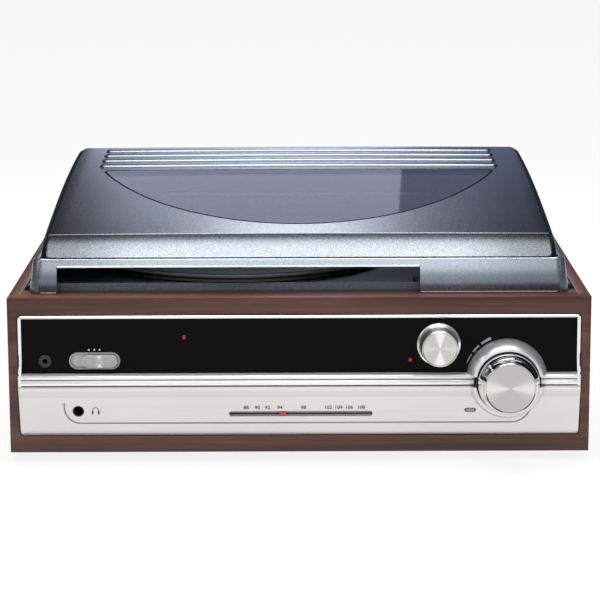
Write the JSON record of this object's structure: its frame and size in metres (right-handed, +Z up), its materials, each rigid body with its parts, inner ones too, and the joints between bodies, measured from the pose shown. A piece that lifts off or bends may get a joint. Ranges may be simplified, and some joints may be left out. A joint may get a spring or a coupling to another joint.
{
  "type": "stereo music centre",
  "caption": "Wooden box radio with a silver and black front and a record deck on top under a smoked hinged dust cover.",
  "frame": {"origin": "middle of the footprint, on the surface that the feet stand on", "axes": "+Z up, +X to the right of someone facing the front, +Y away from them"},
  "size_m": [0.43, 0.396, 0.1913],
  "materials": {
    "walnut_veneer": "satin walnut veneer with straight grain",
    "raw_board": "bare fibreboard",
    "black_plastic": "fine matt moulded plastic",
    "rubber": "matt",
    "steel": "plain plated steel",
    "chrome": "mirror",
    "silver_panel": "fine brushed silver",
    "black_window": "polished black",
    "deck_plastic": "metallic blue-grey, satin",
    "cover_plastic": "smoked, with a fine metallic sparkle",
    "cover_window": "clear smoked",
    "platter_black": "satin black",
    "mat_rubber": "ribbed dark grey rubber",
    "brass": "turned",
    "red_lamp": "clear red",
    "red_plastic": "satin",
    "white_plastic": "plain",
    "grey_plastic": "plain",
    "circuit_board": "green laminate",
    "iron_core": "laminated core with its winding",
    "arm_metal": "satin"
  },
  "bodies": {
    "cabinet": {"side_panel_left": "walnut_veneer", "side_panel_right": "walnut_veneer", "front_frame": "walnut_veneer", "bottom_panel": "raw_board", "rear_panel": "black_plastic", "corner_blocks": "raw_board", "rubber_feet": "rubber", "case_screws": "steel", "hinge_brackets": "grey_plastic", "cord_gland": "rubber", "output_sockets": "steel", "deck_plate": "deck_plastic", "spindle_bearing": "brass", "motor": "steel", "drive_belt": "rubber", "transit_screw": "black_plastic", "arm_base": "black_plastic", "arm_rest": "black_plastic", "fascia_panel": "silver_panel", "display_window": "black_window", "volume_ring": "chrome", "indicator_leds": "red_lamp", "aux_jack": "black_plastic", "headphone_jack": "black_plastic", "function_switch": "grey_plastic", "dial_backing": "grey_plastic", "dial_chassis": "steel", "dial_cord": "white_plastic", "tuning_capacitor": "arm_metal", "volume_control": "steel", "main_board": "circuit_board", "transformer": "iron_core"},
    "lid": {"lid_shell": "cover_plastic", "lid_window": "cover_window", "lid_bumpers": "rubber", "lid_hinge_leaves": "grey_plastic", "hinge_pins": "steel"},
    "platter": {"platter": "platter_black", "platter_mat": "mat_rubber", "spindle": "chrome"},
    "motor_rotor": {"motor_pulley": "brass"},
    "arm_yoke": {"arm_yoke": "arm_metal"},
    "tonearm": {"arm_tube": "arm_metal", "headshell": "black_plastic", "cartridge": "red_plastic", "counterweight": "iron_core"},
    "cue_lever": {"cue_lever": "arm_metal"},
    "cue_lift": {"cue_lift": "black_plastic"},
    "arm_clip": {"arm_clip": "black_plastic"},
    "speed_lever": {"speed_lever": "black_plastic"},
    "auto_stop_lever": {"auto_stop_lever": "black_plastic"},
    "tuning": {"tuning_knob": "chrome", "tuning_shaft": "steel"},
    "tuning_drum": {"tuning_drum": "white_plastic"},
    "dial_pointer": {"dial_pointer": "red_plastic"},
    "dial_pulley_left": {"dial_pulley_left": "white_plastic"},
    "dial_pulley_right": {"dial_pulley_right": "white_plastic"},
    "volume": {"volume_knob": "chrome", "volume_shaft": "steel"},
    "function_slider": {"function_slider": "chrome"}
  },
  "joints": [
    {"name": "lid_hinge", "type": "hinge", "parent": "cabinet", "child": "lid", "pos_m": [0, 0.189, 0.132], "axis": [-1, 0, 0], "range_deg": [0, 65]},
    {"name": "platter_spin", "type": "hinge", "parent": "cabinet", "child": "platter", "pos_m": [-0.0477, -0.0186, 0.124], "axis": [0, 0, -1], "continuous": true},
    {"name": "motor_spin", "type": "hinge", "parent": "cabinet", "child": "motor_rotor", "pos_m": [-0.1078, 0.0415, 0.124], "axis": [0, 0, -1], "continuous": true},
    {"name": "arm_swing", "type": "hinge", "parent": "cabinet", "child": "arm_yoke", "pos_m": [0.125, 0.104, 0.15], "axis": [0, 0, -1], "range_deg": [0, 39]},
    {"name": "arm_lift", "type": "hinge", "parent": "arm_yoke", "child": "tonearm", "pos_m": [0.125, 0.104, 0.15], "axis": [-1, 0, 0], "range_deg": [0, 1.3]},
    {"name": "cue_lever_turn", "type": "hinge", "parent": "cabinet", "child": "cue_lever", "pos_m": [0.149, 0.069, 0.1366], "axis": [-1, 0, 0], "range_deg": [0, 60]},
    {"name": "cue_lift_rise", "type": "slide", "parent": "cabinet", "child": "cue_lift", "axis": [0, 0, 1], "range_m": [0, 0.00142]},
    {"name": "arm_clip_turn", "type": "hinge", "parent": "cabinet", "child": "arm_clip", "pos_m": [0.137, -0.061, 0.1485], "axis": [0, -1, 0], "range_deg": [0, 60]},
    {"name": "speed_lever_slide", "type": "slide", "parent": "cabinet", "child": "speed_lever", "axis": [0, 1, 0], "range_m": [0, 0.016]},
    {"name": "auto_stop_slide", "type": "slide", "parent": "cabinet", "child": "auto_stop_lever", "axis": [0, 1, 0], "range_m": [0, 0.006]},
    {"name": "tuning_turn", "type": "hinge", "parent": "cabinet", "child": "tuning", "pos_m": [0.1029, -0.164, 0.0885], "axis": [0, 1, 0], "range_deg": [-509, 877]},
    {"name": "tuning_drum_turn", "type": "hinge", "parent": "cabinet", "child": "tuning_drum", "pos_m": [0.06, -0.155, 0.072], "axis": [0, 1, 0], "range_deg": [-112, 65]},
    {"name": "dial_pointer_slide", "type": "slide", "parent": "cabinet", "child": "dial_pointer", "axis": [1, 0, 0], "range_m": [-0.036, 0.062]},
    {"name": "dial_pulley_left_turn", "type": "hinge", "parent": "cabinet", "child": "dial_pulley_left", "pos_m": [-0.064, -0.155, 0.0376], "axis": [0, 1, 0], "range_deg": [-641, 372]},
    {"name": "dial_pulley_right_turn", "type": "hinge", "parent": "cabinet", "child": "dial_pulley_right", "pos_m": [0.098, -0.155, 0.0376], "axis": [0, 1, 0], "range_deg": [-641, 372]},
    {"name": "volume_turn", "type": "hinge", "parent": "cabinet", "child": "volume", "pos_m": [0.1534, -0.164, 0.0624], "axis": [0, 1, 0], "range_deg": [0, 300]},
    {"name": "function_slide", "type": "slide", "parent": "cabinet", "child": "function_slider", "axis": [-1, 0, 0], "range_m": [0, 0.008]}
  ],
  "couplings": [
    {"joint": "motor_spin", "follows": "platter_spin", "ratio": 10},
    {"joint": "arm_lift", "follows": "cue_lever_turn", "ratio": 0.021667},
    {"joint": "cue_lift_rise", "follows": "cue_lever_turn", "m_per_rad": 0.0013559},
    {"joint": "dial_pointer_slide", "follows": "tuning_turn", "m_per_rad": 0.00405},
    {"joint": "tuning_drum_turn", "follows": "tuning_turn", "ratio": -0.12756},
    {"joint": "dial_pulley_left_turn", "follows": "tuning_turn", "ratio": -0.72973},
    {"joint": "dial_pulley_right_turn", "follows": "tuning_turn", "ratio": -0.72973}
  ]
}
